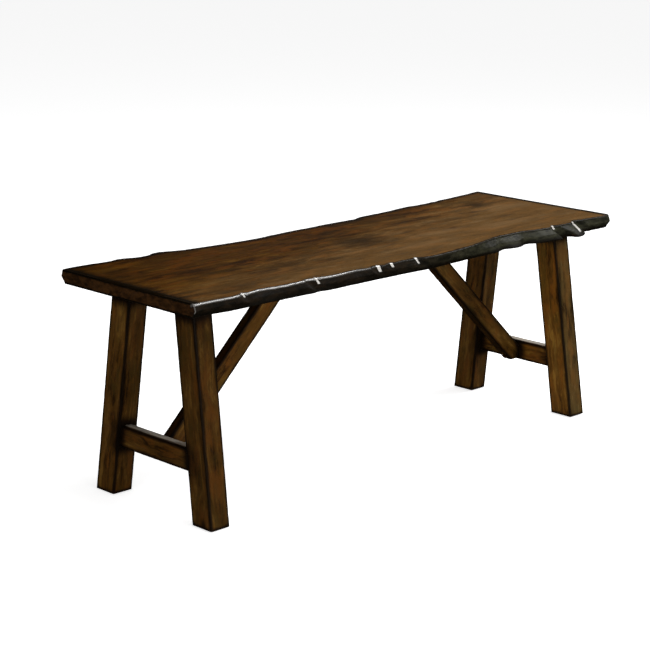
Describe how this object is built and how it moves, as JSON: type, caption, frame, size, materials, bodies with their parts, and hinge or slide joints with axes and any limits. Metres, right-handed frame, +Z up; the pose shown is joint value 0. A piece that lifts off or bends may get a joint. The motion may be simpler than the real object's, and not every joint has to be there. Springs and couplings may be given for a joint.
{
  "type": "dining bench",
  "caption": "Rustic wooden dining bench with a glued-up live-edge seat on splayed end frames, each with a stretcher and a diagonal brace up to the seat.",
  "frame": {"origin": "on the floor, under the middle of the seat's outline", "axes": "+X along the seat, +Y from the front edge to the back edge, +Z up"},
  "size_m": [1.219, 0.4341, 0.46],
  "materials": {
    "seat_wood": "dark walnut stain under a satin lacquer, with near-black hewn live edges and a worn, shiny arris",
    "frame_wood": "dark walnut stain under a satin lacquer, darker along the edges and at the joints",
    "dowel_wood": "bare beech",
    "zinc_steel": "bright zinc plate",
    "insert_brass": "plain turned brass",
    "glide_plastic": "dark brown moulded plastic"
  },
  "bodies": {
    "root": {"front_edge_board": "seat_wood", "front_inner_board": "seat_wood", "back_inner_board": "seat_wood", "back_edge_board": "seat_wood", "front_left_leg": "frame_wood", "back_left_leg": "frame_wood", "front_right_leg": "frame_wood", "back_right_leg": "frame_wood", "left_stretcher": "frame_wood", "right_stretcher": "frame_wood", "left_batten": "frame_wood", "right_batten": "frame_wood", "left_brace": "frame_wood", "right_brace": "frame_wood", "bolts": "zinc_steel", "washers": "zinc_steel", "threaded_inserts": "insert_brass", "batten_dowels": "dowel_wood", "batten_screws": "zinc_steel", "glides": "glide_plastic", "glide_screws": "zinc_steel"}
  },
  "joints": []
}
